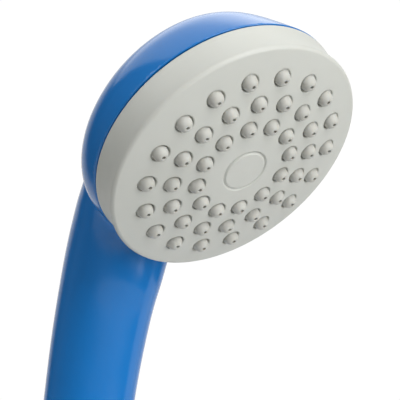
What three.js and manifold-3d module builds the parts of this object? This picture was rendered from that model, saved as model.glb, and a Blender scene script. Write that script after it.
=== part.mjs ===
// Handheld bath sprayer for washing pets, in millimetres.
// The origin is the centre of the hose inlet's end face. +Z runs up the handle and -Y is the side
// that the water leaves on. X = 0 is the plane of symmetry.
import * as THREE from 'three';
import { mergeVertices } from 'three/addons/utils/BufferGeometryUtils.js';
import Module from 'manifold-3d';

const wasm = await Module();
wasm.setup();

// ---- Driving dimensions -------------------------------------------------------------------
const CLEARANCE = 0.3; // between pieces that touch
const WALL = 2.4; // of the body shell
const LIP_ROOM = 37.9; // room in the shell's mouth for the cap's lip
const LIP_DEPTH = 2.2;

// Spray head. Its frame has +Z out of the face and -Y towards the handle.
const HEAD_CENTRE = new THREE.Vector3(0, -52.7, 175.9); // centre of the joint line of cap and shell
const FACE_TILT = THREE.MathUtils.degToRad(40); // face plane against the handle's axis
const HEAD_RADIUS = 40.6;
const DOME_DEPTH = 26.5;
const DOME_ACROSS = 1.95; // exponents of the dome's outline: 2 and 2 would be an ellipse
const DOME_BELOW = 2.6;
const DOME_LEAN = 5.1; // the dome's middle leans this far towards the handle
const DOME_DRIFT = 6.7; // and its deepest point this far towards the crown
const SEAM_GAP = 0.4;
const FACE_CROWN = 15.9; // height of the face's middle above the joint line
const FACE_SPHERE = 171; // radius of the domed face
const FACE_WALL = 2.4;
const EDGE_ROUND = 1.3; // of the cap's front edge
const BACK_ROUND = 0.6; // of the cap's back edge
const RIM_RADIUS = 40.7; // of the cap at its front edge
const WAIST_RADIUS = 40.2; // of the cap's side at its narrowest
const WAIST_HEIGHT = 6.0;
const NOZZLE_RINGS = [
  { count: 18, radius: 31.25, start: 10 },
  { count: 16, radius: 23.45, start: 0 },
  { count: 12, radius: 15.6, start: 0 },
];
const RING_EDGES = [19.5, 27.4]; // circles on the face that pass between the nozzles
const NOZZLE_HOLE_RADIUS = 3.0;
const NUB_RADIUS = 2.3;
const NUB_HEIGHT = 1.9; // above the face
const JET_RADIUS = 0.5;
const MAT_RADIUS = 36.1;
const MAT_THICKNESS = 1.6;
const PLATE_THICKNESS = 2.0;
const MEDALLION_RADIUS = 6.8;
const MEDALLION_RECESS = 7.5;
const WELL_RADIUS = 5.4; // the screw's well behind the medallion
const WELL_OUTER = 9.0;
const WELL_FLOOR = 10.6;
const WELL_BOTTOM = 8.8;
const SCREW_RADIUS = 2.0;
const SCREW_HOLE = 2.4;
const BOSS_RADIUS = 4.6; // the shell's boss for the screw
const POST_RADIUS = 2.2; // the shell's posts behind the chamber
const BOSS_END = -10.4;

// Water chamber behind the face.
const CHAMBER_RADIUS = 36.1;
const CHAMBER_BORE = 34.6;
const CHAMBER_RIM = 3.4;
const CHAMBER_FLOOR = -8.0;
const CHAMBER_WALL = 2.0;
const CHAMBER_SEAL_HEIGHT = 4.5;
const POST_SEAL_HEIGHT = -7.1;
const UPPER_SEAL_DEPTH = 4.3; // below the mouth of the spigot's socket
const SPIGOT_START = new THREE.Vector3(0, -27, -16.6);
const SPIGOT_END = new THREE.Vector3(0, -52, -10.6);
const SPIGOT_RADIUS = 7.6;

// Handle and waterway.
const HANDLE_END = 16.3; // lower end of the handle, above the inlet's thread
const STRAIGHT_END = 63; // the handle is straight up to here
const SOCKET_RADIUS = 10.6;
const SOCKET_TOP = 39;
const TUBE_RADIUS = 4.9;
const TUBE_BORE = 3.5;
const TUBE_SOCKET = 5.3;

// Inlet: G 1/2 male pipe thread.
const THREAD_MAJOR = 20.955 / 2;
const THREAD_MINOR = 18.631 / 2;
const THREAD_PITCH = 1.814;
const THREAD_LENGTH = 13;
const INLET_BORE = 7.5;
const INLET_COLLAR = 12.3;
const INSERT_RADIUS = 10.2; // part of the inlet inside the handle
const INSERT_TOP = 38;
const CARTRIDGE_RADIUS = 7.1;
const TUBE_SEAL_HEIGHT = 34.5;
const INLET_SEAL_HEIGHT = 24.95;
const VALVE_RING_HEIGHT = 21.6;
const POPPET_SEAL_HEIGHT = 17.05;
const RESTRICTOR_RING_HEIGHT = 13.1;

const SEGMENTS = 24;
const HEAD_SEGMENTS = 40; // on the round pieces that show

// ---- Materials ----------------------------------------------------------------------------
const finish = (color, roughness, metalness = 0) =>
  new THREE.MeshStandardMaterial({ color, roughness, metalness });
const blueShell = finish(0x2a66ad, 0.18);
const greyCap = finish(0xc0c1ba, 0.42);
const softNozzle = finish(0xc8c6b9, 0.6);
const innerPlastic = finish(0xe8e8e4, 0.4);
const sealRubber = finish(0x202022, 0.7);
const inletMetal = finish(0xc9ccd0, 0.2, 1);
const steel = finish(0xb8bcc0, 0.3, 1);
const clearTube = finish(0xdfe6ea, 0.3);

// ---- Geometry helpers ---------------------------------------------------------------------
function signedVolume(geometry) {
  const position = geometry.getAttribute('position');
  const index = geometry.getIndex();
  const [a, b, c] = [new THREE.Vector3(), new THREE.Vector3(), new THREE.Vector3()];
  let volume = 0;
  for (let i = 0; i < index.count; i += 3) {
    a.fromBufferAttribute(position, index.getX(i));
    b.fromBufferAttribute(position, index.getX(i + 1));
    c.fromBufferAttribute(position, index.getX(i + 2));
    volume += a.dot(b.cross(c)) / 6;
  }
  return volume;
}

function welded(geometry) {
  const bare = geometry.clone();
  bare.deleteAttribute('normal');
  bare.deleteAttribute('uv');
  const merged = mergeVertices(bare, 1e-4);
  const kept = [];
  const index = merged.getIndex();
  for (let i = 0; i < index.count; i += 3) {
    const corners = [index.getX(i), index.getX(i + 1), index.getX(i + 2)];
    if (new Set(corners).size === 3) kept.push(...corners);
  }
  merged.setIndex(kept);
  if (signedVolume(merged) < 0) merged.setIndex(kept.reverse());
  return merged;
}

function toSolid(geometry) {
  const closed = welded(geometry);
  return new wasm.Manifold(new wasm.Mesh({
    numProp: 3,
    vertProperties: new Float32Array(closed.getAttribute('position').array),
    triVerts: new Uint32Array(closed.getIndex().array),
  }));
}

function toGeometry(solid) {
  const mesh = solid.getMesh();
  const geometry = new THREE.BufferGeometry();
  geometry.setAttribute('position', new THREE.BufferAttribute(mesh.vertProperties.slice(), 3));
  geometry.setIndex(new THREE.BufferAttribute(mesh.triVerts.slice(), 1));
  geometry.computeVertexNormals();
  return geometry;
}

// A solid of revolution about Z. Each point is [radius, height]. The outline ends on the axis or
// closes on itself.
function turned(outline, segments = SEGMENTS) {
  const points = outline.map(([r, z]) => new THREE.Vector2(r, z));
  const onAxis = outline[0][0] === 0 && outline[outline.length - 1][0] === 0;
  if (!onAxis) points.push(points[0].clone());
  return toSolid(new THREE.LatheGeometry(points, segments).rotateX(Math.PI / 2));
}

const rod = (radius, low, high, segments = 14) =>
  turned([[0, low], [radius, low], [radius, high], [0, high]], segments);

const pipe = (outer, inner, low, high, segments = SEGMENTS) =>
  turned([[inner, low], [outer, low], [outer, high], [inner, high]], segments);

const ringSeal = (major, minor, segments = 24) =>
  new THREE.TorusGeometry(major, minor, 5, segments);

// A rod from one point to another.
function rodBetween(from, to, radius, segments = 16) {
  const span = new THREE.Vector3().subVectors(to, from);
  const geometry = new THREE.CylinderGeometry(radius, radius, span.length(), segments);
  geometry.applyQuaternion(
    new THREE.Quaternion().setFromUnitVectors(new THREE.Vector3(0, 1, 0), span.clone().normalize()));
  geometry.translate(...from.clone().addScaledVector(span, 0.5));
  return toSolid(geometry);
}

// A closed solid through rings of equally many points, its ends closed around their middles.
function lofted(rings) {
  const count = rings[0].length;
  const vertices = rings.flat();
  const faces = [];
  for (let i = 0; i + 1 < rings.length; i += 1) {
    for (let j = 0; j < count; j += 1) {
      const next = (j + 1) % count;
      const [a, b] = [i * count + j, i * count + next];
      faces.push(a, b, b + count, a, b + count, a + count);
    }
  }
  for (const [ring, flip] of [[0, true], [rings.length - 1, false]]) {
    const middle = new THREE.Vector3();
    rings[ring].forEach((p) => middle.addScaledVector(p, 1 / count));
    vertices.push(middle);
    for (let j = 0; j < count; j += 1) {
      const edge = [ring * count + j, ring * count + ((j + 1) % count)];
      faces.push(...(flip ? edge.reverse() : edge), vertices.length - 1);
    }
  }
  const geometry = new THREE.BufferGeometry();
  geometry.setAttribute('position', new THREE.Float32BufferAttribute(
    vertices.flatMap((v) => [v.x, v.y, v.z]), 3));
  geometry.setIndex(faces);
  return toSolid(geometry);
}

const union = (solids) => wasm.Manifold.union(solids);

// Height of the domed face, or of a surface that far below it, at a radius.
const faceHeight = (radius, below = 0) => FACE_CROWN - below - (radius * radius) / (2 * FACE_SPHERE);
// Outline points along that surface between two radii.
const domedLine = (from, to, below) =>
  [from, ...RING_EDGES.filter((radius) => radius > from + 1 && radius < to - 1), to]
    .map((radius) => [radius, faceHeight(radius, below)]);

// One place for every nozzle: angles are measured from the handle's side of the face.
function nozzlePlaces() {
  const places = [];
  for (const { count, radius, start } of NOZZLE_RINGS) {
    for (let i = 0; i < count; i += 1) {
      const angle = THREE.MathUtils.degToRad(start + (360 / count) * i);
      places.push({ x: radius * Math.sin(angle), y: -radius * Math.cos(angle), radius });
    }
  }
  return places;
}

// The head's frame in the sprayer's frame.
const headGroup = new THREE.Group();
headGroup.position.copy(HEAD_CENTRE);
headGroup.rotation.x = Math.PI / 2 + FACE_TILT;
headGroup.updateMatrixWorld(true);
const fromHead = (point) => point.clone().applyMatrix4(headGroup.matrixWorld);
const headToBody = (solid) => solid.transform(headGroup.matrixWorld.elements);

// ---- Body shell: dome and handle in one moulding --------------------------------------------
// The handle's middle line: straight above the inlet, then a curve into the head.
const neckTop = new THREE.Vector3(0, -26.2, 169.8);
const neckTangent = new THREE.Vector3(0, -20.9, 27.2);
const spine = new THREE.CurvePath();
spine.add(new THREE.LineCurve3(
  new THREE.Vector3(0, 0, 0), new THREE.Vector3(0, 0, STRAIGHT_END)));
spine.add(new THREE.CubicBezierCurve3(
  new THREE.Vector3(0, 0, STRAIGHT_END), new THREE.Vector3(0, 0, 95.4),
  neckTop.clone().sub(neckTangent), neckTop));
spine.add(new THREE.LineCurve3(
  neckTop, neckTop.clone().addScaledVector(neckTangent.clone().normalize(), 16)));
const spineLength = spine.getLength();

// Half width, depth to the front and depth to the back, by distance along the spine.
const girth = new THREE.CubicInterpolant(
  [HANDLE_END, 40, 63, 94, 115, 126, 136, 147, 156, 166, 176, 185, 190],
  [
    12.6, 12.6, 12.6,
    13.5, 13.5, 13.5,
    14.2, 14.2, 14.2,
    14.35, 14.75, 14.7,
    15.0, 15.0, 15.4,
    15.4, 15.1, 16.0,
    16.0, 15.4, 16.7,
    17.2, 13.9, 16.7,
    18.9, 13.0, 15.6,
    20.1, 12.4, 13.7,
    16.6, 11.5, 11.4,
    13.0, 9.0, 10.9,
    9.0, 6.0, 9.0,
  ],
  3);

function handleSection(distance, inset, count) {
  const along = distance / spineLength;
  const centre = spine.getPointAt(along);
  const tangent = spine.getTangentAt(along);
  const front = new THREE.Vector3(0, -tangent.z, tangent.y);
  const [half, ahead, behind] = Array.from(girth.evaluate(distance), (size) => size - inset);
  return Array.from({ length: count }, (_, i) => {
    const angle = (2 * Math.PI * i) / count;
    const depth = Math.cos(angle) * (Math.cos(angle) > 0 ? ahead : behind);
    return new THREE.Vector3(half * Math.sin(angle), 0, 0).add(centre).addScaledVector(front, depth);
  });
}

function handleSolid(inset, from, to, steps, count = 24) {
  const rings = [];
  for (let i = 0; i <= steps; i += 1) {
    rings.push(handleSection(from + ((to - from) * i) / steps, inset, count));
  }
  return lofted(rings);
}

// The back of the head: rings that shrink with depth, closing on the deepest point.
function domeSolid(inset, top, rings, count = HEAD_SEGMENTS) {
  const radius = HEAD_RADIUS - inset;
  const depth = DOME_DEPTH - inset;
  const outline = [];
  for (let i = 0; i <= rings; i += 1) {
    const fraction = Math.sin((Math.PI / 2) * Math.min(i / rings, 0.985));
    const size = radius * (1 - fraction ** DOME_BELOW) ** (1 / DOME_ACROSS);
    const lean = DOME_LEAN * Math.sin(Math.PI * fraction) - DOME_DRIFT * fraction;
    outline.push({ size, lean, height: -depth * fraction });
  }
  outline.unshift({ size: radius, lean: 0, height: top });
  return lofted(outline.map(({ size, lean, height }) =>
    Array.from({ length: count }, (_, i) => {
      const angle = (2 * Math.PI * i) / count;
      return new THREE.Vector3(size * Math.cos(angle), size * Math.sin(angle) - lean, height);
    })));
}

function bodyShell() {
  const capRoom = headToBody(rod(HEAD_RADIUS + SEAM_GAP, 0, 40, HEAD_SEGMENTS));
  const outside = headToBody(domeSolid(0, 1, 8)).add(handleSolid(0, HANDLE_END, 190, 22));
  const hollow = headToBody(domeSolid(WALL, 2, 5)).add(handleSolid(WALL, SOCKET_TOP + 3, 184, 14, 16));
  const socket = rod(SOCKET_RADIUS, HANDLE_END - 1, SOCKET_TOP + 4, 24);
  const lipRoom = headToBody(rod(LIP_ROOM, -LIP_DEPTH, 1, HEAD_SEGMENTS));
  const boss = headToBody(rod(BOSS_RADIUS, -25, BOSS_END));
  const posts = [[24, 0], [-24, 0], [0, 24]].map(([x, y]) =>
    headToBody(rod(POST_RADIUS, -20.8, BOSS_END, 10).translate([x, y, 0])));
  const screwHole = headToBody(rod(SCREW_HOLE, -24, BOSS_END + 0.4, 12));
  return outside.subtract(capRoom).subtract(hollow).subtract(socket).subtract(lipRoom)
    .add(union([boss, ...posts])).subtract(screwHole);
}

// ---- Spray head pieces, in the head's frame -------------------------------------------------
function sprayCap() {
  const flat = RIM_RADIUS - EDGE_ROUND;
  const roundMiddle = faceHeight(flat) - EDGE_ROUND;
  const edge = [70, 30, 0].map((degrees) => {
    const angle = THREE.MathUtils.degToRad(degrees);
    return [flat + EDGE_ROUND * Math.cos(angle), roundMiddle + EDGE_ROUND * Math.sin(angle)];
  });
  const shell = turned([
    ...domedLine(0, flat - 0.6, 0),
    ...edge,
    [WAIST_RADIUS, WAIST_HEIGHT],
    [HEAD_RADIUS, SEAM_GAP + BACK_ROUND],
    [HEAD_RADIUS - BACK_ROUND, SEAM_GAP],
    [37.5, SEAM_GAP], [37.5, -1.8], [36.5, -1.8], [36.5, 3.2], [38.4, 4.4],
    ...domedLine(WELL_OUTER, 38.4, FACE_WALL).reverse(),
    [WELL_OUTER, WELL_BOTTOM], [0, WELL_BOTTOM],
  ], HEAD_SEGMENTS);
  const recess = rod(MEDALLION_RECESS, FACE_CROWN - 1.8, FACE_CROWN + 2, 32);
  const well = rod(WELL_RADIUS, WELL_FLOOR, FACE_CROWN, 24);
  const screwHole = rod(SCREW_HOLE, WELL_BOTTOM - 2, WELL_FLOOR + 1, 12);
  const holes = nozzlePlaces().map(({ x, y }) => rod(NOZZLE_HOLE_RADIUS, 4, 20, 6).translate([x, y, 0]));
  return shell.subtract(union([recess, well, screwHole, ...holes]));
}

function nozzleMat() {
  const top = FACE_WALL + CLEARANCE;
  const bottom = top + MAT_THICKNESS;
  const inner = WELL_OUTER + 0.4;
  const membrane = turned([
    ...domedLine(inner, MAT_RADIUS, bottom),
    ...domedLine(inner, MAT_RADIUS, top).reverse(),
  ]);
  const nubs = nozzlePlaces().map(({ x, y, radius }) => {
    const face = faceHeight(radius);
    const outline = [
      [0, face - bottom + 0.5], [NUB_RADIUS, face - bottom + 0.5], [NUB_RADIUS, face + 0.8],
      [1.3, face + NUB_HEIGHT], [0, face + NUB_HEIGHT],
    ];
    return turned(outline, 6).translate([x, y, 0]);
  });
  const jets = nozzlePlaces().map(({ x, y }) => rod(JET_RADIUS, 4, 20, 4).translate([x, y, 0]));
  return membrane.add(union(nubs)).subtract(union(jets));
}

function distributorPlate() {
  const top = FACE_WALL + MAT_THICKNESS + 2 * CLEARANCE;
  const bottom = top + PLATE_THICKNESS;
  const pocket = WELL_OUTER + 0.4;
  const plate = turned([
    [SCREW_HOLE, 8.4], [pocket, 8.4],
    ...domedLine(pocket, MAT_RADIUS, top),
    ...domedLine(34.2, MAT_RADIUS, bottom).reverse(),
    [34.2, -0.5], [32.9, -0.5],
    ...domedLine(pocket + 1, 32.9, bottom).reverse(),
    [pocket + 1, 6.5], [4.4, 6.5],
    [4.4, -5], [6.4, -5], [6.4, -6.2], [4.2, -6.2], [4.2, -7.7], [SCREW_HOLE, -7.7],
  ]);
  const ports = nozzlePlaces().map(({ x, y }) => rod(1.3, 2, 14, 4).translate([x, y, 0]));
  return plate.subtract(union(ports));
}

function centreMedallion() {
  const seat = FACE_CROWN - 1.5;
  return turned([
    [0, FACE_CROWN + 0.15], [3.4, FACE_CROWN + 0.05], [5.8, FACE_CROWN - 0.2],
    [MEDALLION_RADIUS, FACE_CROWN - 0.6], [MEDALLION_RADIUS, seat],
    [5.1, seat], [5.1, seat - 1.8], [4.5, seat - 1.8], [4.5, seat], [0, seat],
  ], 24);
}

function centreScrew() {
  const under = WELL_FLOOR + 0.3 + 0.8 + 0.1;
  const shank = turned([
    [0, -22.5], [0.6, -22.5], [SCREW_RADIUS - 0.4, -20.5], [SCREW_RADIUS - 0.4, -11],
    [SCREW_RADIUS, -10.4], [SCREW_RADIUS, under], [3.9, under],
    [3.9, under + 0.9], [3.0, under + 1.7], [0, under + 1.9],
  ], 20);
  const slot = toSolid(new THREE.BoxGeometry(0.9, 4.4, 1.6).translate(0, 0, under + 1.9));
  const crossSlot = toSolid(new THREE.BoxGeometry(4.4, 0.9, 1.6).translate(0, 0, under + 1.9));
  return shank.subtract(slot).subtract(crossSlot);
}

function waterChamber() {
  const under = CHAMBER_FLOOR - CHAMBER_WALL;
  const dish = turned([
    [0, CHAMBER_FLOOR], [31, CHAMBER_FLOOR], [CHAMBER_BORE, -2.6], [CHAMBER_BORE, CHAMBER_RIM],
    [CHAMBER_RADIUS, CHAMBER_RIM], [CHAMBER_RADIUS, -3.4], [31.5, under], [0, under],
  ]);
  const axis = new THREE.Vector3().subVectors(SPIGOT_END, SPIGOT_START).normalize();
  const along = (distance) => SPIGOT_END.clone().addScaledVector(axis, distance);
  const spigot = rodBetween(SPIGOT_START, SPIGOT_END, SPIGOT_RADIUS, 20);
  const passage = rodBetween(along(-22), along(-10), TUBE_BORE, 12);
  const socket = rodBetween(along(-12), along(1), TUBE_SOCKET, 16);
  const groove = rodBetween(along(-5.2), along(-3.4), 6.8, 16);
  const rise = rod(TUBE_BORE, SPIGOT_START.z - 1, CHAMBER_FLOOR + 3, 12)
    .translate([0, along(-20.5).y, 0]);
  const screwHole = rod(SCREW_HOLE, under - 1, CHAMBER_FLOOR + 1, 12);
  const clear = rod(31, CHAMBER_FLOOR, 2, 32);
  return dish.add(spigot.subtract(clear))
    .subtract(union([passage, socket, groove, rise, screwHole]));
}

// ---- Waterway and inlet, in the sprayer's frame ----------------------------------------------
function waterwayTube() {
  const axis = new THREE.Vector3().subVectors(SPIGOT_END, SPIGOT_START).normalize();
  const inSpigot = [-10.5, -5, 0, 3].map((distance) =>
    fromHead(SPIGOT_END.clone().addScaledVector(axis, distance)));
  const alongHandle = [128, 114, 98, 82].map((distance) => spine.getPointAt(distance / spineLength));
  const inHandle = [66, 50, 31.5].map((height) => new THREE.Vector3(0, 0, height));
  const route = new THREE.CatmullRomCurve3([...inSpigot, ...alongHandle, ...inHandle]);
  const section = new THREE.Shape().absarc(0, 0, TUBE_RADIUS, 0, 2 * Math.PI);
  section.holes.push(new THREE.Path().absarc(0, 0, TUBE_BORE, 0, 2 * Math.PI));
  return new THREE.ExtrudeGeometry(section, { steps: 24, curveSegments: 5, extrudePath: route });
}

// One trapezoidal ridge carried round and up a right-handed helix.
function threadRidge(low, high, perTurn = 10) {
  const steps = Math.round(((high - low) / THREAD_PITCH) * perTurn);
  const section = [
    [THREAD_MINOR - 0.4, -0.8], [THREAD_MAJOR, -0.2], [THREAD_MAJOR, 0.2], [THREAD_MINOR - 0.4, 0.8],
  ];
  const rings = Array.from({ length: steps + 1 }, (_, i) => {
    const angle = (2 * Math.PI * i) / perTurn;
    const height = low + (THREAD_PITCH * i) / perTurn;
    return section.map(([radius, rise]) =>
      new THREE.Vector3(radius * Math.cos(angle), radius * Math.sin(angle), height + rise));
  });
  return lofted(rings);
}

function inletConnector() {
  const body = turned([
    [INLET_BORE, 0], [THREAD_MINOR - 0.5, 0], [THREAD_MINOR, 0.5], [THREAD_MINOR, THREAD_LENGTH],
    [INLET_COLLAR, THREAD_LENGTH + 0.3], [INLET_COLLAR, 16], [INSERT_RADIUS, 16],
    [INSERT_RADIUS, 24], [8.9, 24], [8.9, 25.9], [INSERT_RADIUS, 25.9],
    [INSERT_RADIUS, INSERT_TOP], [TUBE_SOCKET, INSERT_TOP],
    [TUBE_SOCKET, 35.4], [6.9, 35.4], [6.9, 33.6], [TUBE_SOCKET, 33.6],
    [TUBE_SOCKET, 31.2], [TUBE_BORE, 31.2], [TUBE_BORE, 29.5], [INLET_BORE, 29.5],
  ], 20);
  return body.add(threadRidge(1.4, 11.8));
}

function filterScreen() {
  const rim = pipe(CARTRIDGE_RADIUS, 6.2, 8.6, 10.9, 24);
  const disc = rod(6.5, 9.5, 10, 24);
  const holes = [];
  for (const [count, radius] of [[1, 0], [6, 2.1], [12, 4.3]]) {
    for (let i = 0; i < count; i += 1) {
      const angle = (2 * Math.PI * i) / count;
      holes.push(rod(0.8, 9, 11, 5).translate([radius * Math.cos(angle), radius * Math.sin(angle), 0]));
    }
  }
  return rim.add(disc).subtract(union(holes));
}

function flowRestrictor() {
  const cup = turned([
    [0, 11.2], [CARTRIDGE_RADIUS, 11.2], [CARTRIDGE_RADIUS, 14.4], [5.4, 14.4], [5.4, 12.2],
    [1.9, 12.2], [1.9, 14.2], [0, 14.2],
  ], 24);
  const ports = Array.from({ length: 6 }, (_, i) => {
    const angle = (Math.PI * i) / 3;
    return rod(0.9, 10, 13, 6).translate([3.9 * Math.cos(angle), 3.9 * Math.sin(angle), 0]);
  });
  return cup.subtract(union(ports));
}

function checkValveBody() {
  const shell = turned([
    [3.4, 14.8], [CARTRIDGE_RADIUS, 14.8], [CARTRIDGE_RADIUS, 20.8], [6.25, 20.8], [6.25, 22.4],
    [CARTRIDGE_RADIUS, 22.4], [CARTRIDGE_RADIUS, 28.7], [5.6, 28.7], [5.6, 16.4], [3.4, 16.4],
  ], 24);
  const hub = pipe(2.3, 1.4, 27.2, 28.7, 16);
  const spokes = [0, Math.PI / 2].map((angle) => {
    const bar = toSolid(new THREE.BoxGeometry(11.8, 1.2, 1.5).rotateZ(angle).translate(0, 0, 27.95));
    return bar.subtract(rod(1.9, 26, 30, 16));
  });
  return shell.add(union([hub, ...spokes]));
}

function checkValvePoppet() {
  return turned([
    [0, 15.2], [2.2, 15.2], [2.9, 15.9], [2.9, 17.8], [4.8, 17.8], [4.8, 18.4], [3.6, 19],
    [1, 19], [1, 28.9], [0.6, 29.3], [0, 29.3],
  ], 20);
}

// A compression spring with its wire along a helix, sitting between the poppet and the hub.
function checkValveSpring() {
  const [low, high, turns, perTurn] = [19.75, 26.45, 4.5, 10];
  const [coil, wire] = [2.6, 0.32];
  const rings = Array.from({ length: turns * perTurn + 1 }, (_, i) => {
    const angle = (2 * Math.PI * i) / perTurn;
    const height = low + ((high - low) * i) / (turns * perTurn);
    return Array.from({ length: 5 }, (_unused, j) => {
      const around = (2 * Math.PI * j) / 5;
      const radius = coil + wire * Math.cos(around);
      return new THREE.Vector3(
        radius * Math.cos(angle), radius * Math.sin(angle), height + wire * Math.sin(around));
    });
  });
  return lofted(rings);
}

// ---- Assembly -------------------------------------------------------------------------------
const sprayer = new THREE.Group();
sprayer.add(headGroup);

function place(group, name, shape, material) {
  const geometry = shape instanceof THREE.BufferGeometry ? welded(shape) : toGeometry(shape);
  const mesh = new THREE.Mesh(geometry, material);
  mesh.name = name;
  group.add(mesh);
  return mesh;
}

place(sprayer, 'body_shell', bodyShell(), blueShell);

place(headGroup, 'spray_cap', sprayCap(), greyCap);
place(headGroup, 'nozzle_mat', nozzleMat(), softNozzle);
place(headGroup, 'distributor_plate', distributorPlate(), innerPlastic);
place(headGroup, 'chamber_seal', ringSeal(35.4, 0.8, 32), sealRubber)
  .position.z = CHAMBER_SEAL_HEIGHT;
place(headGroup, 'water_chamber', waterChamber(), innerPlastic);
place(headGroup, 'post_seal', ringSeal(5.3, 0.7, 16), sealRubber).position.z = POST_SEAL_HEIGHT;
place(headGroup, 'centre_screw', centreScrew(), steel);
place(headGroup, 'screw_washer', pipe(4.1, SCREW_HOLE, WELL_FLOOR + 0.3, WELL_FLOOR + 1.1, 20), steel);
place(headGroup, 'centre_medallion', centreMedallion(), greyCap);

place(sprayer, 'waterway_tube', waterwayTube(), clearTube);
const upperRing = place(headGroup, 'tube_seal_upper', ringSeal(5.85, 0.55, 16), sealRubber);
const spigotAxis = new THREE.Vector3().subVectors(SPIGOT_END, SPIGOT_START).normalize();
upperRing.position.copy(SPIGOT_END).addScaledVector(spigotAxis, -UPPER_SEAL_DEPTH);
upperRing.quaternion.setFromUnitVectors(new THREE.Vector3(0, 0, 1), spigotAxis);
place(sprayer, 'tube_seal_lower', ringSeal(5.85, 0.6, 16), sealRubber).position.z = TUBE_SEAL_HEIGHT;

place(sprayer, 'inlet_connector', inletConnector(), inletMetal);
place(sprayer, 'inlet_seal', ringSeal(9.65, 0.55), sealRubber).position.z = INLET_SEAL_HEIGHT;
place(sprayer, 'filter_screen', filterScreen(), steel);
place(sprayer, 'flow_restrictor', flowRestrictor(), innerPlastic);
place(sprayer, 'restrictor_ring', ringSeal(2.8, 0.6, 12), sealRubber).position.z = RESTRICTOR_RING_HEIGHT;
place(sprayer, 'check_valve_body', checkValveBody(), innerPlastic);
place(sprayer, 'check_valve_ring', ringSeal(6.9, 0.45), sealRubber).position.z = VALVE_RING_HEIGHT;
place(sprayer, 'check_valve_poppet', checkValvePoppet(), innerPlastic);
place(sprayer, 'poppet_seal', ringSeal(3.95, 0.5, 16), sealRubber).position.z = POPPET_SEAL_HEIGHT;
place(sprayer, 'check_valve_spring', checkValveSpring(), steel);

export default sprayer;
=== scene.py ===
"""Handheld bath sprayer for washing pets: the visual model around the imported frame.

Shapes are worked out in millimetres, in the part's frame: the origin is the centre of the hose
inlet's end face, +Z runs up the handle and -Y is the side that the water leaves on. The head has
a frame of its own, with +Z out of the face, +Y towards the crown and its origin on the joint line.
"""

import math

import bmesh
import bpy
import numpy as np
from mathutils import Matrix, Vector
from mathutils.geometry import delaunay_2d_cdt


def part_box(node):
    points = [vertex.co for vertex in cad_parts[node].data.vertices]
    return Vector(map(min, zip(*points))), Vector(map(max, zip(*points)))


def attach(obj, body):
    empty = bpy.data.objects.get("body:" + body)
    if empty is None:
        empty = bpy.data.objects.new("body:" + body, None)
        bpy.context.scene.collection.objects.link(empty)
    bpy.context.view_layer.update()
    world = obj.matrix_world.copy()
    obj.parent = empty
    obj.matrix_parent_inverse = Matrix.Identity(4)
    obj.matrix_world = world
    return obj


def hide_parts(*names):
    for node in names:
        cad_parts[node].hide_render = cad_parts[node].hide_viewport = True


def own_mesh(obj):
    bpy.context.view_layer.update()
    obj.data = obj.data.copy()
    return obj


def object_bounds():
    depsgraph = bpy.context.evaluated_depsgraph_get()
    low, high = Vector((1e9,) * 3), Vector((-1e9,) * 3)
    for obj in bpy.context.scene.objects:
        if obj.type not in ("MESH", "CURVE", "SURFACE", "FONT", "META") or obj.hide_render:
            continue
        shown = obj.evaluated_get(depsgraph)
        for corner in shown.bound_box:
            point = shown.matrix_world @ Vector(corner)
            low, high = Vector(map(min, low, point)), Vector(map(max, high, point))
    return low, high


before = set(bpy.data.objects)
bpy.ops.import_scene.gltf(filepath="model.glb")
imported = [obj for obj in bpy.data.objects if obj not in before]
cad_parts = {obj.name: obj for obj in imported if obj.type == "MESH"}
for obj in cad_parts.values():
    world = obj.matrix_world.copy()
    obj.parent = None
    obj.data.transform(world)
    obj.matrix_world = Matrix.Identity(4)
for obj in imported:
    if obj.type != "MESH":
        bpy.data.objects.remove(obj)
cad_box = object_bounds()

# ---- Driving sizes, in millimetres -----------------------------------------------------------
MM = 0.001

HEAD_CENTRE = (0, -52.7, 175.9)
FACE_TILT = 40  # degrees between the face's plane and the handle's axis
HEAD_RADIUS = 40.6
DOME_DEPTH = 26.5
DOME_ACROSS = 1.95  # exponents of the dome's outline: 2 and 2 would be an ellipse
DOME_BELOW = 2.6
DOME_LEAN = 5.1  # the dome's middle leans this far towards the handle
DOME_DRIFT = 6.7  # and its deepest point this far towards the crown
WALL = 2.4
LIP_ROOM = 37.9  # room in the shell's mouth for the cap's lip
LIP_DEPTH = 2.2
SEAM_GAP = 0.4
SEAM_ROUND = 0.45  # rounding of the shell's edge at the joint line
OVERRUN = 3  # the dome's field runs this far past the joint line, and its hollow further
HOLLOW_OVERRUN = 5
POST_PLACES = ((24, 0), (-24, 0), (0, 24))
POST_RADIUS = 2.2
BOSS_RADIUS = 4.6  # the screw's boss
BOSS_END = -10.4
BOSS_FOOT = -40  # well inside the dome's wall
BOSS_FILLET = 0.8

FACE_CROWN = 15.9
FACE_SPHERE = 171
FACE_WALL = 2.4
EDGE_ROUND = 1.3
BACK_ROUND = 0.6
CAP_LIP = (36.5, 37.5, 1.8)  # inner and outer radius, reach into the shell
MAT_ROOM = 38.4
RIM_RADIUS = 40.7  # the cap at its front edge
WAIST_RADIUS = 40.2  # the cap's flank at its narrowest
WAIST_HEIGHT = 6.0
FLARE = 15  # degrees that the flank leans outwards where it meets the front edge
NOZZLE_RINGS = ((18, 31.25, 10), (16, 23.45, 0), (12, 15.6, 0))  # count, radius, first angle
HOLE_RADIUS = 2.75
HOLE_ROUND = 0.45
NUB_RADIUS = 2.4  # at its foot, below the face
NUB_FOOT = 0.75  # depth of the foot below the face
COLLAR_RADIUS = 2.68  # fills the hole round the foot
NUB_HEIGHT = 1.9
JET_RADIUS = 0.5
MAT_RADIUS = 36.1
MAT_THICKNESS = 1.6
CLEARANCE = 0.3
WELL_OUTER = 9.0
WELL_BOTTOM = 8.8
WELL_FLOOR = 10.6
WELL_RADIUS = 5.4
SCREW_HOLE = 2.4
SCREW_HOLE_ENDS = (-24, -5)
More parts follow.
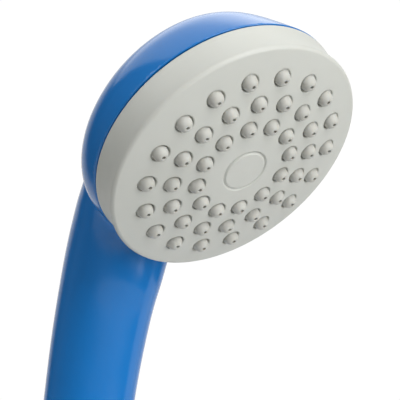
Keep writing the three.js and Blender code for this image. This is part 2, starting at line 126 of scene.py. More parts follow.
RECESS_RADIUS = 6.87
RECESS_FLOOR = FACE_CROWN - 1.8
MEDALLION_RADIUS = 6.8
GROOVE_HALF = 0.62  # the soft groove along the medallion's joint
GROOVE_DEPTH = 0.42
MEDALLION_SEAT = FACE_CROWN - 1.5
MEDALLION_PEG = (4.5, 5.1, 1.8)  # inner and outer radius, length
MEDALLION_PROUD = 0.05
MIDDLE_RISE = 0.07
MIDDLE_SPREAD = 1.3

HANDLE_END = 16.3
STRAIGHT_END = 63
SOCKET_RADIUS = 10.6
SOCKET_TOP = 43
NECK_TOP = (-26.2, 169.8)
NECK_RUN = (-20.9, 27.2)
NECK_STUB = 16
BEND_PULL = 95.4  # height that the bend's first control point stands at
END_TAPER = 6  # length over which the handle's field closes past its ends
END_ROUND = 0.6
SPINE_START = HANDLE_END - 6
# distance along the middle line: half width, depth to the front, depth to the back
GIRTHS = (
    (16.3, 12.6, 12.6, 12.6),
    (40, 13.5, 13.5, 13.5),
    (63, 14.2, 14.2, 14.2),
    (94, 14.35, 14.75, 14.7),
    (115, 15.0, 15.0, 15.4),
    (126, 15.4, 15.1, 16.0),
    (136, 16.0, 15.4, 16.7),
    (147, 17.2, 13.9, 16.7),
    (156, 18.9, 13.0, 15.6),
    (166, 20.1, 12.4, 13.7),
    (176, 16.6, 11.5, 11.4),
    (185, 13.0, 9.0, 10.9),
    (190, 9.0, 6.0, 9.0),
)
NECK_FILLET = 3.0

INLET_BORE = 7.5
INLET_COLLAR = 12.3
THREAD_MAJOR = 20.955 / 2
THREAD_MINOR = 18.631 / 2
THREAD_PITCH = 1.814
THREAD_START = 0.6
THREAD_END = 12.4
TUBE_SOCKET = 5.3
STRAINER_FACES = (9.5, 10.0)
STRAINER_HOLE = 0.48
STRAINER_RINGS = ((1, 0), (6, 1.45), (12, 2.9), (18, 4.2), (24, 5.4))  # count, radius
SPRING_ENDS = (19.75, 26.45)
SPRING_TURNS = 4.5
SPRING_RADIUS = 2.6
SPRING_WIRE = 0.32
PARTING_LINE = 0.035  # height of the seals' mould line
# piece, CAD node, thickness / 2, tilt in degrees about X, body
SEALS = (
    ("chamber_ring", "chamber_seal", 0.8, 130, "sprayer"),
    ("post_ring", "post_seal", 0.7, 130, "sprayer"),
    ("upper_tube_ring", "tube_seal_upper", 0.55, 26.5, "sprayer"),
    ("lower_tube_ring", "tube_seal_lower", 0.6, 0, "sprayer"),
    ("inlet_ring", "inlet_seal", 0.55, 0, "sprayer"),
    ("valve_ring", "check_valve_ring", 0.45, 0, "sprayer"),
    ("core_ring", "restrictor_ring", 0.6, 0, "sprayer"),
    ("poppet_ring", "poppet_seal", 0.5, 0, "valve_poppet"),
)

OUTER_STEP = 1.3  # grid of the shell's outer surface
INNER_STEP = 1.8

HEAD = Matrix.Translation(HEAD_CENTRE) @ Matrix.Rotation(math.radians(90 + FACE_TILT), 4, "X")
UPRIGHT = Matrix.Identity(4)
ROW_SPACING = math.sqrt(3) / 2  # between the rows of a triangular lattice


# ---- Mesh tools ------------------------------------------------------------------------------
class Skin:
    """Points and the faces between them, built up ring by ring."""

    def __init__(self):
        self.points = []
        self.faces = []
        self.slots = []

    def ring(self, points):
        start = len(self.points)
        self.points.extend(tuple(map(float, point)) for point in points)
        return list(range(start, len(self.points)))

    def face(self, corners, slot=0):
        self.faces.append(tuple(corners))
        self.slots.append(slot)

    def bridge(self, rings, slot=0):
        """Quads between rings of equally many points, each joined to the next."""
        for lower, upper in zip(rings, rings[1:]):
            for i in range(len(lower)):
                j = (i + 1) % len(lower)
                self.face((lower[i], lower[j], upper[j], upper[i]), slot)

    def cone(self, ring, tip, slot=0):
        """Triangles from a ring to one point."""
        end = self.ring([tip])[0]
        for i, corner in enumerate(ring):
            self.face((corner, ring[(i + 1) % len(ring)], end), slot)


def circle(radius, height, count, centre=(0, 0)):
    turns = np.arange(count) * (2 * math.pi / count)
    x = centre[0] + radius * np.cos(turns)
    y = centre[1] + radius * np.sin(turns)
    z = height(np.hypot(x, y)) if callable(height) else np.full(count, height)
    return np.column_stack((x, y, z))


def arc(centre, radius, start, end, steps):
    """Points [r, z] on an arc of a profile. Angles are in degrees from the outward direction."""
    angles = np.radians(np.linspace(start, end, steps + 1))
    return [(centre[0] + radius * math.cos(a), centre[1] + radius * math.sin(a)) for a in angles]


def turned(skin, profile, count, slot=0, closed=True):
    """A surface of revolution about Z through the profile's [r, z] points."""
    rings = []
    tips = []
    for radius, height in profile:
        if radius == 0:
            tips.append((len(rings), height))
        else:
            rings.append(skin.ring(circle(radius, height, count)))
    skin.bridge(rings, slot)
    for place, height in tips:
        skin.cone(rings[0] if place == 0 else rings[-1], (0, 0, height), slot)
    if closed and not tips:
        skin.bridge([rings[-1], rings[0]], slot)
    return rings


def fill_sheet(skin, outer, holes, height, spacing, slot=0):
    """Triangles on a domed sheet between an outer ring and the rings round its holes."""
    rim = np.hypot(*skin.points[outer[0]][:2])
    middles = np.array([np.mean([skin.points[i][:2] for i in loop], axis=0) for loop in holes])
    reaches = np.array([
        math.dist(middle, skin.points[loop[0]][:2]) for middle, loop in zip(middles, holes)])
    added = []
    rows = int(rim / (spacing * ROW_SPACING)) + 1
    for row in range(-rows, rows + 1):
        for column in range(-rows, rows + 1):
            x, y = (column + 0.5 * (row % 2)) * spacing, row * spacing * ROW_SPACING
            clear = np.hypot(middles[:, 0] - x, middles[:, 1] - y) > reaches + 0.45 * spacing
            if math.hypot(x, y) < rim - 0.5 * spacing and clear.all():
                added.append((x, y, height(math.hypot(x, y))))
    known, owners, edges = [], [], []
    for number, loop in enumerate([outer, *holes]):
        start = len(known)
        edges += [(start + i, start + (i + 1) % len(loop)) for i in range(len(loop))]
        known += loop
        owners += [number] * len(loop)
    known += skin.ring(added)
    owners += [0] * len(added)
    flat = [Vector(skin.points[index][:2]) for index in known]
    _, _, faces, origins, _, _ = delaunay_2d_cdt(flat, edges, [], 1, 1e-6)
    for corners in faces:
        corners = [origins[corner][0] for corner in corners]
        in_hole = owners[corners[0]] > 0 and len({owners[corner] for corner in corners}) == 1
        if not in_hole:
            skin.face([known[corner] for corner in corners], slot)


def to_object(name, skin, matrix=UPRIGHT, sharp=40):
    """A closed mesh object in metres, shaded smooth up to the given angle between faces."""
    mesh = bpy.data.meshes.new(name)
    points = [(matrix @ Vector(point)) * MM for point in skin.points]
    mesh.from_pydata(points, [], skin.faces)
    mesh.polygons.foreach_set("material_index", skin.slots)
    shaped = bmesh.new()
    shaped.from_mesh(mesh)
    bmesh.ops.recalc_face_normals(shaped, faces=shaped.faces)
    shaped.to_mesh(mesh)
    shaped.free()
    piece = bpy.data.objects.new(name, mesh)
    bpy.context.collection.objects.link(piece)
    shade(piece, sharp)
    return piece


def shade(piece, sharp):
    mesh = piece.data
    mesh.shade_smooth()
    mesh.set_sharp_from_angle(angle=math.radians(sharp))
    weighted = piece.modifiers.new("normals", "WEIGHTED_NORMAL")
    weighted.keep_sharp = True


# ---- The shell's surface ---------------------------------------------------------------------
def spine_table(step=0.5):
    """Distance, y, z and direction along the handle's middle line, from below its end."""
    knots = np.array([(0, STRAIGHT_END), (0, BEND_PULL), np.subtract(NECK_TOP, NECK_RUN), NECK_TOP])
    t = np.linspace(0, 1, 400)[:, None]
    curve = ((1 - t) ** 3 * knots[0] + 3 * (1 - t) ** 2 * t * knots[1]
             + 3 * (1 - t) * t ** 2 * knots[2] + t ** 3 * knots[3])
    stub = knots[3] + np.array(NECK_RUN) / math.hypot(*NECK_RUN) * NECK_STUB
    path = np.vstack(((0, SPINE_START), curve, stub))
    lengths = np.hypot(*np.diff(path, axis=0).T)
    travelled = np.concatenate(([0], np.cumsum(lengths))) + SPINE_START
    distance = np.arange(travelled[0], travelled[-1], step)
    y = np.interp(distance, travelled, path[:, 0])
    z = np.interp(distance, travelled, path[:, 1])
    ty, tz = np.gradient(y, distance), np.gradient(z, distance)
    size = np.hypot(ty, tz)
    return distance, y, z, ty / size, tz / size


def girth_table(distance):
    """Half width, front depth and back depth at each distance: a smooth curve through GIRTHS."""
    stations = np.array(GIRTHS)
    s, sizes = stations[:, 0], stations[:, 1:]
    slopes = np.zeros_like(sizes)
    slopes[1:-1] = (sizes[2:] - sizes[:-2]) / (s[2:] - s[:-2])[:, None]
    slopes[0] = (sizes[1] - sizes[0]) / (s[1] - s[0])
    slopes[-1] = (sizes[-1] - sizes[-2]) / (s[-1] - s[-2])
    held = np.clip(distance, s[0], s[-1])
    i = np.clip(np.searchsorted(s, held) - 1, 0, len(s) - 2)
    span = (s[i + 1] - s[i])[:, None]
    t = ((held - s[i]) / (s[i + 1] - s[i]))[:, None]
    return ((2 * t ** 3 - 3 * t ** 2 + 1) * sizes[i] + (t ** 3 - 2 * t ** 2 + t) * span * slopes[i]
            + (3 * t ** 2 - 2 * t ** 3) * sizes[i + 1] + (t ** 3 - t ** 2) * span * slopes[i + 1])


SPINE = spine_table()
GIRTH = girth_table(SPINE[0])


def along_spine(s):
    return [np.interp(s, SPINE[0], column) for column in SPINE[1:]]


def handle_field(points, inset):
    """Signed distance, nearly, from the handle's surface moved inwards by inset."""
    x, y, z = points.T
    coarse = slice(None, None, 4)
    apart = (y[:, None] - SPINE[1][coarse]) ** 2 + (z[:, None] - SPINE[2][coarse]) ** 2
    s = SPINE[0][coarse][np.argmin(apart, axis=1)]
    for _ in range(2):
        cy, cz, ty, tz = along_spine(s)
        s = np.clip(s + (y - cy) * ty + (z - cz) * tz, SPINE[0][0], SPINE[0][-1])
    cy, cz, ty, tz = along_spine(s)
    beyond = (y - cy) * ty + (z - cz) * tz
    depth = (z - cz) * ty - (y - cy) * tz
    half, ahead, behind = (np.interp(s, SPINE[0], column) - inset for column in GIRTH.T)
    reach = np.where(depth > 0, ahead, behind)
    stretch = np.sqrt((x / half) ** 2 + (depth / reach) ** 2 + (beyond / END_TAPER) ** 2)
    stretch = np.maximum(stretch, 1e-3)
    slopes = (x / half ** 2) ** 2 + (depth / reach ** 2) ** 2 + (beyond / END_TAPER ** 2) ** 2
    rate = np.sqrt(slopes) / stretch
    return (stretch - 1) / np.maximum(rate, 1 / 20)


def into_head(points):
    turn = np.array(HEAD.to_3x3())
    return (points - np.array(HEAD_CENTRE)) @ turn


def dome_field(points, inset, top):
    """Signed distance, nearly, from the dome. It runs straight up to top past the joint line."""
    x, y, z = into_head(points).T
    radius, depth = HEAD_RADIUS - inset, DOME_DEPTH - inset
    below = np.clip(-z / depth, 0, None)
    held = np.clip(below, 0, 1)
    lean = DOME_LEAN * np.sin(math.pi * held) - DOME_DRIFT * held
    across = np.hypot(x, y + lean) / radius
    size = np.maximum(across ** DOME_ACROSS + below ** DOME_BELOW, 1e-6)
    rate = np.hypot(DOME_ACROSS * across ** (DOME_ACROSS - 1) / radius,
                    DOME_BELOW * below ** (DOME_BELOW - 1) / depth)
    return np.maximum((size - 1) / np.maximum(rate, DOME_ACROSS / 45), z - top)


def blended(a, b, width):
    """The smaller of two fields, with a fillet where they cross."""
    share = np.clip(0.5 + 0.5 * (b - a) / width, 0, 1)
    return b * (1 - share) + a * share - width * share * (1 - share)


def rod_field(points, radius, low, high):
    x, y, z = points.T
    return np.maximum(np.hypot(x, y) - radius, np.abs(z - (low + high) / 2) - (high - low) / 2)


def shell_field(points):
    return blended(handle_field(points, 0), dome_field(points, 0, OVERRUN), NECK_FILLET)


def hollow_field(points):
    """The room inside the shell: tube and head, less the screw's boss and three posts."""
    room = blended(handle_field(points, WALL), dome_field(points, WALL, HOLLOW_OVERRUN), NECK_FILLET)
    room = np.minimum(room, rod_field(points, SOCKET_RADIUS, SPINE_START, SOCKET_TOP))
    local = into_head(points)
    room = np.minimum(room, rod_field(local, LIP_ROOM, -LIP_DEPTH, HOLLOW_OVERRUN))
    posts = rod_field(local, BOSS_RADIUS, BOSS_FOOT, BOSS_END)
    for x, y in POST_PLACES:
        posts = np.minimum(posts, rod_field(local - (x, y, 0), POST_RADIUS, BOSS_FOOT, BOSS_END))
    return -blended(-room, posts, BOSS_FILLET)


def gradient(field, points, reach=0.02):
    steps = np.eye(3) * reach
    return np.column_stack([
        (field(points + step) - field(points - step)) / (2 * reach) for step in steps])


def onto_surface(field, points):
    for _ in range(3):
        slope = gradient(field, points)
        points = points - slope * (field(points) / (slope ** 2).sum(1))[:, None]
    return points


def in_pieces(field, points, size=60000):
    return np.concatenate([field(points[i:i + size]) for i in range(0, len(points), size)])


def surface_net(field, low, high, step):
    """Quads round the closed surface where field is zero, with every point on that surface."""
    axes = [np.arange(a, b + step, step) for a, b in zip(low, high)]
    grid = np.stack(np.meshgrid(*axes, indexing="ij"), axis=-1)
    shape = grid.shape[:3]
    values = in_pieces(field, grid.reshape(-1, 3)).reshape(shape)
    inside = values < 0
    cells = tuple(n - 1 for n in shape)
    total, crossings = np.zeros((*cells, 3)), np.zeros(cells)
    for axis in range(3):
        a = [slice(None)] * 3
        b = [slice(None)] * 3
        a[axis], b[axis] = slice(0, -1), slice(1, None)
        a, b = tuple(a), tuple(b)
        crossed = inside[a] != inside[b]
        share = np.where(crossed, values[a] / np.where(crossed, values[a] - values[b], 1), 0)
        place = grid[a] + share[..., None] * (grid[b] - grid[a])
        others = [k for k in range(3) if k != axis]
        for shift in ((0, 0), (0, 1), (1, 0), (1, 1)):
            part = [slice(None)] * 3
            for k, move in zip(others, shift):
                part[k] = slice(move, cells[k] + move)
            part = tuple(part)
            total += np.where(crossed[part][..., None], place[part], 0)
            crossings += crossed[part]
    used = crossings > 0
    number = np.full(cells, -1)
    number[used] = np.arange(used.sum())
    points = total[used] / crossings[used][:, None]
    faces = []
    for axis in range(3):
        a = [slice(None)] * 3
        b = [slice(None)] * 3
        a[axis], b[axis] = slice(0, -1), slice(1, None)
        where = np.argwhere(inside[tuple(a)] != inside[tuple(b)])
        u, v = np.eye(3, dtype=int)[[k for k in range(3) if k != axis]]
        corners = [number[tuple((where - shift).T)] for shift in (0 * u, u, u + v, v)]
        faces.append(np.column_stack(corners))
    return relaxed(field, points, np.vstack(faces)), np.vstack(faces)


def relaxed(field, points, faces, rounds=6):
    """Evens out the net along the surface."""
    ends = np.vstack([faces[:, [i, (i + 1) % 4]] for i in range(4)])
    count = np.bincount(ends.ravel(), minlength=len(points))[:, None]
    for _ in range(rounds):
        total = np.zeros_like(points)
        np.add.at(total, ends[:, 0], points[ends[:, 1]])
        np.add.at(total, ends[:, 1], points[ends[:, 0]])
        points = onto_surface(field, 0.5 * points + 0.5 * total / count)
    return points


def net_object(name, field, low, high, step):
    points, faces = surface_net(field, low, high, step)
    skin = Skin()
    skin.ring(points)
    for corners in faces:
        skin.face(corners.tolist())
    return to_object(name, skin)


def carved(piece, cutters):
    """Cuts the cutters out of the piece and removes them."""
    for cutter in cutters:
        cut = piece.modifiers.new("cut", "BOOLEAN")
        cut.operation = "DIFFERENCE"
        cut.solver = "MANIFOLD"
        cut.object = cutter
    solved = piece.evaluated_get(bpy.context.evaluated_depsgraph_get())
    piece.data = bpy.data.meshes.new_from_object(solved)
    piece.modifiers.clear()
    for cutter in cutters:
        bpy.data.objects.remove(cutter)


# ---- Materials -------------------------------------------------------------------------------
def nodes_of(name):
    material = bpy.data.materials.new(name)
    material.use_nodes = True
    tree = material.node_tree
    return material, tree, tree.nodes["Principled BSDF"]


def noise(tree, scale, detail=2.0):
    """Noise in the piece's own space. Scale is in patches a metre."""
    place = tree.nodes.new("ShaderNodeTexCoord")
    texture = tree.nodes.new("ShaderNodeTexNoise")
    texture.inputs["Scale"].default_value = scale
    texture.inputs["Detail"].default_value = detail
    tree.links.new(place.outputs["Object"], texture.inputs["Vector"])
    return texture.outputs["Fac"]


def spread(tree, source, low, high):
    span = tree.nodes.new("ShaderNodeMapRange")
    span.inputs["From Min"].default_value = 0.3
    span.inputs["From Max"].default_value = 0.7
    span.inputs["To Min"].default_value = low
    span.inputs["To Max"].default_value = high
    tree.links.new(source, span.inputs["Value"])
    return span.outputs["Result"]


def tinted(tree, source, dark, light):
    ramp = tree.nodes.new("ShaderNodeValToRGB")
    ramp.color_ramp.elements[0].position = 0.3
    ramp.color_ramp.elements[0].color = (*dark, 1)
    ramp.color_ramp.elements[1].position = 0.7
    ramp.color_ramp.elements[1].color = (*light, 1)
    tree.links.new(source, ramp.inputs["Fac"])
    return ramp.outputs["Color"]


def bumped(tree, source, depth, strength, below=None):
    """Relief from a height. Depth is in millimetres."""
    bump = tree.nodes.new("ShaderNodeBump")
    bump.inputs["Distance"].default_value = depth * MM
    bump.inputs["Strength"].default_value = strength
    tree.links.new(source, bump.inputs["Height"])
    if below is not None:
        tree.links.new(below, bump.inputs["Normal"])
    return bump.outputs["Normal"]


def plastic(name, dark, light, roughness, grain, subsurface=0.0):
    """Moulded plastic: slow changes of tone and gloss, faint flow ripple, and a fine grain."""
    material, tree, shader = nodes_of(name)
    slow = noise(tree, 28)
    tree.links.new(tinted(tree, slow, dark, light), shader.inputs["Base Color"])
    tree.links.new(spread(tree, noise(tree, 160), *roughness), shader.inputs["Roughness"])
    ripple = bumped(tree, slow, *grain["ripple"])
    fine = bumped(tree, noise(tree, grain["scale"], 4), *grain["fine"], below=ripple)
    tree.links.new(fine, shader.inputs["Normal"])
    shader.inputs["IOR"].default_value = 1.5
    if subsurface:
        shader.inputs["Subsurface Weight"].default_value = subsurface
        shader.inputs["Subsurface Radius"].default_value = (1.0, 0.8, 0.6)
        shader.inputs["Subsurface Scale"].default_value = 1.2 * MM
    return material


def metal(name, colour, roughness, scale):
    material, tree, shader = nodes_of(name)
    shader.inputs["Metallic"].default_value = 1.0
    slow = noise(tree, 90)
    dark = tuple(0.93 * channel for channel in colour)
    tree.links.new(tinted(tree, slow, dark, colour), shader.inputs["Base Color"])
    tree.links.new(spread(tree, noise(tree, 400), *roughness), shader.inputs["Roughness"])
    tree.links.new(bumped(tree, noise(tree, scale, 3), 0.01, 0.3), shader.inputs["Normal"])
    return material


def make_materials():
    glossy = {"ripple": (0.25, 0.12), "scale": 2600, "fine": (0.008, 0.15)}
    satin = {"ripple": (0.2, 0.1), "scale": 3400, "fine": (0.02, 0.5)}
    soft = {"ripple": (0.05, 0.1), "scale": 2600, "fine": (0.02, 0.5)}
    return {
        "blue_shell": plastic(
            "blue_gloss_plastic", (0.001, 0.145, 0.450), (0.002, 0.155, 0.480), (0.13, 0.20), glossy),
        "grey_cap": plastic(
            "grey_satin_plastic", (0.52, 0.53, 0.49), (0.55, 0.56, 0.52), (0.42, 0.52), satin, 0.1),
        "soft_nozzle": plastic(
            "soft_nozzle_rubber", (0.45, 0.45, 0.415), (0.49, 0.49, 0.455), (0.5, 0.62), soft, 0.25),
        # painted shade: the bores are coloured dark, warm brown for the shade that falls inside the
        # fine outlet holes
        "nozzle_bore": plastic(
            "nozzle_bore_painted_shade", (0.10, 0.055, 0.030), (0.14, 0.080, 0.045), (0.5, 0.7), soft),
        "inner_plastic": plastic(
            "inner_white_plastic", (0.72, 0.72, 0.69), (0.78, 0.78, 0.75), (0.32, 0.44), satin, 0.1),
        "seal_rubber": plastic(
            "seal_rubber", (0.012, 0.012, 0.013), (0.022, 0.022, 0.023), (0.5, 0.65), soft),
        "clear_tube": plastic(
            "waterway_tube_plastic", (0.62, 0.66, 0.68), (0.70, 0.74, 0.76), (0.2, 0.3), glossy, 0.2),
        "inlet_chrome": metal("inlet_chrome", (0.78, 0.79, 0.80), (0.06, 0.14), 900),
        "steel": metal("inner_steel", (0.58, 0.58, 0.57), (0.22, 0.36), 2400),
    }


def dress(piece, slot, body, *replaced, extra=()):
    """Gives a new piece its materials, its slot, its body and the CAD nodes that it stands for."""
    piece.data.materials.clear()
    for name in (slot, *extra):
        piece.data.materials.append(materials[name])
    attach(piece, body)
    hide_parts(*replaced)
    return piece


# ---- Pieces ----------------------------------------------------------------------------------
def face_height(below=0.0):
    return lambda radius: FACE_CROWN - below - radius * radius / (2 * FACE_SPHERE)


def soft_edge():
    """Steps across and down one side of the soft groove, from the joint outwards."""
    return [(GROOVE_HALF * share, GROOVE_DEPTH * (1 + math.cos(math.pi * share)) / 2)
            for share in np.linspace(0, 1, 9)]


def nozzle_places():
    """Middles of the nozzles in the head's frame. Angles start at the handle's side."""
    places = []
    for count, radius, start in NOZZLE_RINGS:
        for turn in np.radians(start + np.arange(count) * 360 / count):
            places.append((radius * math.sin(turn), -radius * math.cos(turn)))
    return places


def cap_room():
    """What the cap and its joint take from the shell, with a skirt that rounds the shell's edge."""
    edge = HEAD_RADIUS - SEAM_ROUND
    skirt = [
        (radius, -SEAM_ROUND + height) for radius, height in arc((edge, 0), SEAM_ROUND, 90, 0, 5)]
    outline = [(0, 0), *skirt, (HEAD_RADIUS + SEAM_GAP, -SEAM_ROUND),
               (HEAD_RADIUS + SEAM_GAP, 40), (0, 40)]
    skin = Skin()
    turned(skin, outline, 160)
    return to_object("cap_room", skin, HEAD)


def handle_foot():
    """Everything below the handle's end, with a lip that rounds the end's edge."""
    edge, top = GIRTHS[0][1], HANDLE_END + END_ROUND
    lip = arc((edge - END_ROUND, top), END_ROUND, -90, 0, 5)
    outline = [(0, -20), (30, -20), (30, top), (edge + 0.4, top),
               *reversed(lip), (0, HANDLE_END)]
    skin = Skin()
    turned(skin, outline, 128)
    return to_object("handle_foot", skin)


def screw_hole():
    """The pilot hole in the shell's boss."""
    low, high = SCREW_HOLE_ENDS
    skin = Skin()
    turned(skin, [(0, low), (SCREW_HOLE, low), (SCREW_HOLE, high), (0, high)], 48)
    return to_object("screw_hole", skin, HEAD)


def make_shell():
    low = np.array(cad_box[0]) / MM - 4
    high = np.array(cad_box[1]) / MM + 4
    low[2] = 2
    shell = net_object("shell", shell_field, low, high, OUTER_STEP)
    hollow = net_object("hollow", hollow_field, low, high, INNER_STEP)
    carved(shell, [hollow, cap_room(), handle_foot(), screw_hole()])
    shade(shell, 30)
    return dress(shell, "blue_shell", "sprayer", "body_shell")


def flank(start, end):
    """The cap's waisted side between two [r, z] points, from the front edge to the back edge."""
    points = []
    for edge, shares in ((start, (1, 0.75, 0.5, 0.25)), (end, (0, 0.25, 0.5, 0.75, 1))):
        for share in shares:
            radius = WAIST_RADIUS + (edge[0] - WAIST_RADIUS) * share * share
            points.append((radius, WAIST_HEIGHT + (edge[1] - WAIST_HEIGHT) * share))
    return points


def make_cap():
    """The grey cap: domed face with its holes, rounded front edge, flank, joint lip and well."""
    skin = Skin()
    face, under = face_height(), face_height(FACE_WALL)
    slope = math.asin((RIM_RADIUS - EDGE_ROUND) / FACE_SPHERE)
    contact = RIM_RADIUS - EDGE_ROUND * (1 - math.sin(slope))
    middle = (RIM_RADIUS - EDGE_ROUND, face(contact) - EDGE_ROUND * math.cos(slope))
    back = (HEAD_RADIUS - BACK_ROUND, SEAM_GAP + BACK_ROUND)
    front_edge = arc(middle, EDGE_ROUND, 90 - math.degrees(slope), -FLARE, 9)
    back_edge = arc(back, BACK_ROUND, 0, -90, 5)
    inner, outer, reach = CAP_LIP
    profile = [
        *front_edge[:-1], *flank(front_edge[-1], back_edge[0]), *back_edge[1:],
        (outer, SEAM_GAP), (outer, -reach), (inner, -reach), (inner, 3.2), (MAT_ROOM, 4.4),
        (MAT_ROOM, under(MAT_ROOM)),
    ]
    outside = turned(skin, profile, 160, closed=False)
    well = [
        (WELL_OUTER, under(WELL_OUTER)), (WELL_OUTER, WELL_BOTTOM), (SCREW_HOLE, WELL_BOTTOM),
        (SCREW_HOLE, WELL_FLOOR), (WELL_RADIUS, WELL_FLOOR), (WELL_RADIUS, RECESS_FLOOR),
        (RECESS_RADIUS, RECESS_FLOOR),
    ]
    well += [(RECESS_RADIUS + across, face(RECESS_RADIUS) - down) for across, down in soft_edge()]
    inside = turned(skin, well, 72, closed=False)
    tops, bottoms = [], []
    for place in nozzle_places():
        rings = []
        for turn in np.radians(np.linspace(0, 90, 5)):
            radius = HOLE_RADIUS + HOLE_ROUND * (1 - math.sin(turn))
            drop = HOLE_ROUND * (1 - math.cos(turn))
            rings.append(skin.ring(circle(radius, face_height(drop), 32, place)))
        rings.append(skin.ring(circle(HOLE_RADIUS, under, 32, place)))
        skin.bridge(rings)
        tops.append(rings[0])
        bottoms.append(rings[-1])
    fill_sheet(skin, outside[0], [*tops, inside[-1]], face, 1.6)
    fill_sheet(skin, outside[-1], [*bottoms, inside[0]], under, 2.4)
    cap = to_object("cap", skin, HEAD)
    return dress(cap, "grey_cap", "sprayer", "spray_cap")


def nub_rings(skin, place):
    """One soft nozzle: a collar that fills its hole, a rounded nub, and a fine bore."""
    sides = 28
    face = face_height()(math.hypot(*place))
    foot = face - NUB_FOOT
    rise = NUB_HEIGHT + NUB_FOOT
    mouth = JET_RADIUS + 0.14
    outside = [skin.ring(circle(COLLAR_RADIUS, face_height(FACE_WALL + CLEARANCE), sides, place)),
               skin.ring(circle(COLLAR_RADIUS, foot - 0.1, sides, place)),
               skin.ring(circle(COLLAR_RADIUS - 0.1, foot, sides, place))]
    for turn in np.radians(np.linspace(0, 90, 11)):
        radius = mouth + (NUB_RADIUS - mouth) * math.cos(turn)
        outside.append(skin.ring(circle(radius, foot + rise * math.sin(turn), sides, place)))
    outside.append(skin.ring(circle(JET_RADIUS, face + NUB_HEIGHT - 0.12, sides, place)))
    skin.bridge(outside)
    under = face_height(FACE_WALL + CLEARANCE + MAT_THICKNESS)
    bore = [outside[-1],
            skin.ring(circle(JET_RADIUS, face - 1.2, sides, place)),
            skin.ring(circle(1.1, under, sides, place))]
    # slot 1 paints the bore dark brown: painted shade down the outlet hole
    skin.bridge(bore, 1)
    return outside[0], bore[-1]


def make_nozzle_mat():
    """The soft mat behind the face, with the nubs that stand through the cap's holes."""
    skin = Skin()
    top = face_height(FACE_WALL + CLEARANCE)
    under = face_height(FACE_WALL + CLEARANCE + MAT_THICKNESS)
    inner = WELL_OUTER + 0.4
    rim = [skin.ring(circle(MAT_RADIUS, height, 120)) for height in (top, under)]
    eye = [skin.ring(circle(inner, height, 48)) for height in (top, under)]
    skin.bridge(rim)
    skin.bridge(eye)
    ends = [nub_rings(skin, place) for place in nozzle_places()]
    fill_sheet(skin, rim[0], [*[upper for upper, _ in ends], eye[0]], top, 2.6)
    fill_sheet(skin, rim[1], [*[lower for _, lower in ends], eye[1]], under, 2.6)
    mat = to_object("nozzles", skin, HEAD)
    # the second material paints shade down the bores
    return dress(mat, "soft_nozzle", "sprayer", "nozzle_mat", extra=("nozzle_bore",))


def make_medallion():
    """The disc over the screw: nearly flush, with a small raised middle and a soft edge."""
    top = face_height(-MEDALLION_PROUD)
    flat = MEDALLION_RADIUS - GROOVE_HALF
    crown = [(r, top(r) + MIDDLE_RISE * math.exp(-(r / MIDDLE_SPREAD) ** 2))
             for r in (0, 0.5, 1, 1.5, 2, 2.6, 3.6, 4.8, 5.8)]
    edge = [(MEDALLION_RADIUS - across, top(flat) - down) for across, down in reversed(soft_edge())]
    inner, outer, length = MEDALLION_PEG
    tip = MEDALLION_SEAT - length
    profile = [
        *crown, *edge, (MEDALLION_RADIUS, MEDALLION_SEAT), (outer, MEDALLION_SEAT), (outer, tip),
        (inner, tip), (inner, MEDALLION_SEAT), (0, MEDALLION_SEAT),
    ]
    skin = Skin()
    turned(skin, profile, 96)
    medallion = to_object("medallion", skin, HEAD)
    return dress(medallion, "grey_cap", "sprayer", "centre_medallion")


def thread_radius(turn, height):
    """Radius of the inlet's thread: a rounded ridge on a helix that fades out at both ends."""
    phase = 2 * math.pi * height / THREAD_PITCH - turn
    ridge = np.clip(0.5 + 0.66 * np.cos(phase), 0, 1)
    fade = min(1, max(0, (height - THREAD_START) / 1.2), max(0, (THREAD_END - height) / 0.9))
    return THREAD_MINOR + (THREAD_MAJOR - THREAD_MINOR) * ridge * fade


def make_inlet():
    """The chromed inlet: threaded spigot, collar, and the ribbed plug inside the handle."""
    skin = Skin()
    sides = 108
    turns = np.arange(sides) * 2 * math.pi / sides
    below = [(INLET_BORE + 0.3, 0), (THREAD_MINOR - 0.5, 0), (THREAD_MINOR, 0.5)]
    above = [
        (THREAD_MINOR, 13), (INLET_COLLAR - 0.35, 13.1), (INLET_COLLAR, 13.5), (INLET_COLLAR, 15.7),
        (INLET_COLLAR - 0.3, 16), (10.2, 16), (10.2, 24), (8.9, 24), (8.9, 25.9), (10.2, 25.9),
        (10.2, 37.6), (9.8, 38), (TUBE_SOCKET + 0.3, 38), (TUBE_SOCKET, 37.7), (TUBE_SOCKET, 35.4),
        (6.9, 35.4), (6.9, 33.6), (TUBE_SOCKET, 33.6), (TUBE_SOCKET, 31.2), (3.5, 31.2),
        (3.5, 29.5), (INLET_BORE, 29.5), (INLET_BORE, 0.3),
    ]
    rings = [skin.ring(circle(radius, height, sides)) for radius, height in below]
    for height in np.arange(0.65, 12.9, 0.13):
        radii = thread_radius(turns, height)
        rings.append(skin.ring(np.column_stack((
            radii * np.cos(turns), radii * np.sin(turns), np.full(sides, height)))))
    rings += [skin.ring(circle(radius, height, sides)) for radius, height in above]
    skin.bridge([*rings, rings[0]])
    inlet = to_object("inlet", skin)
    return dress(inlet, "inlet_chrome", "sprayer", "inlet_connector")


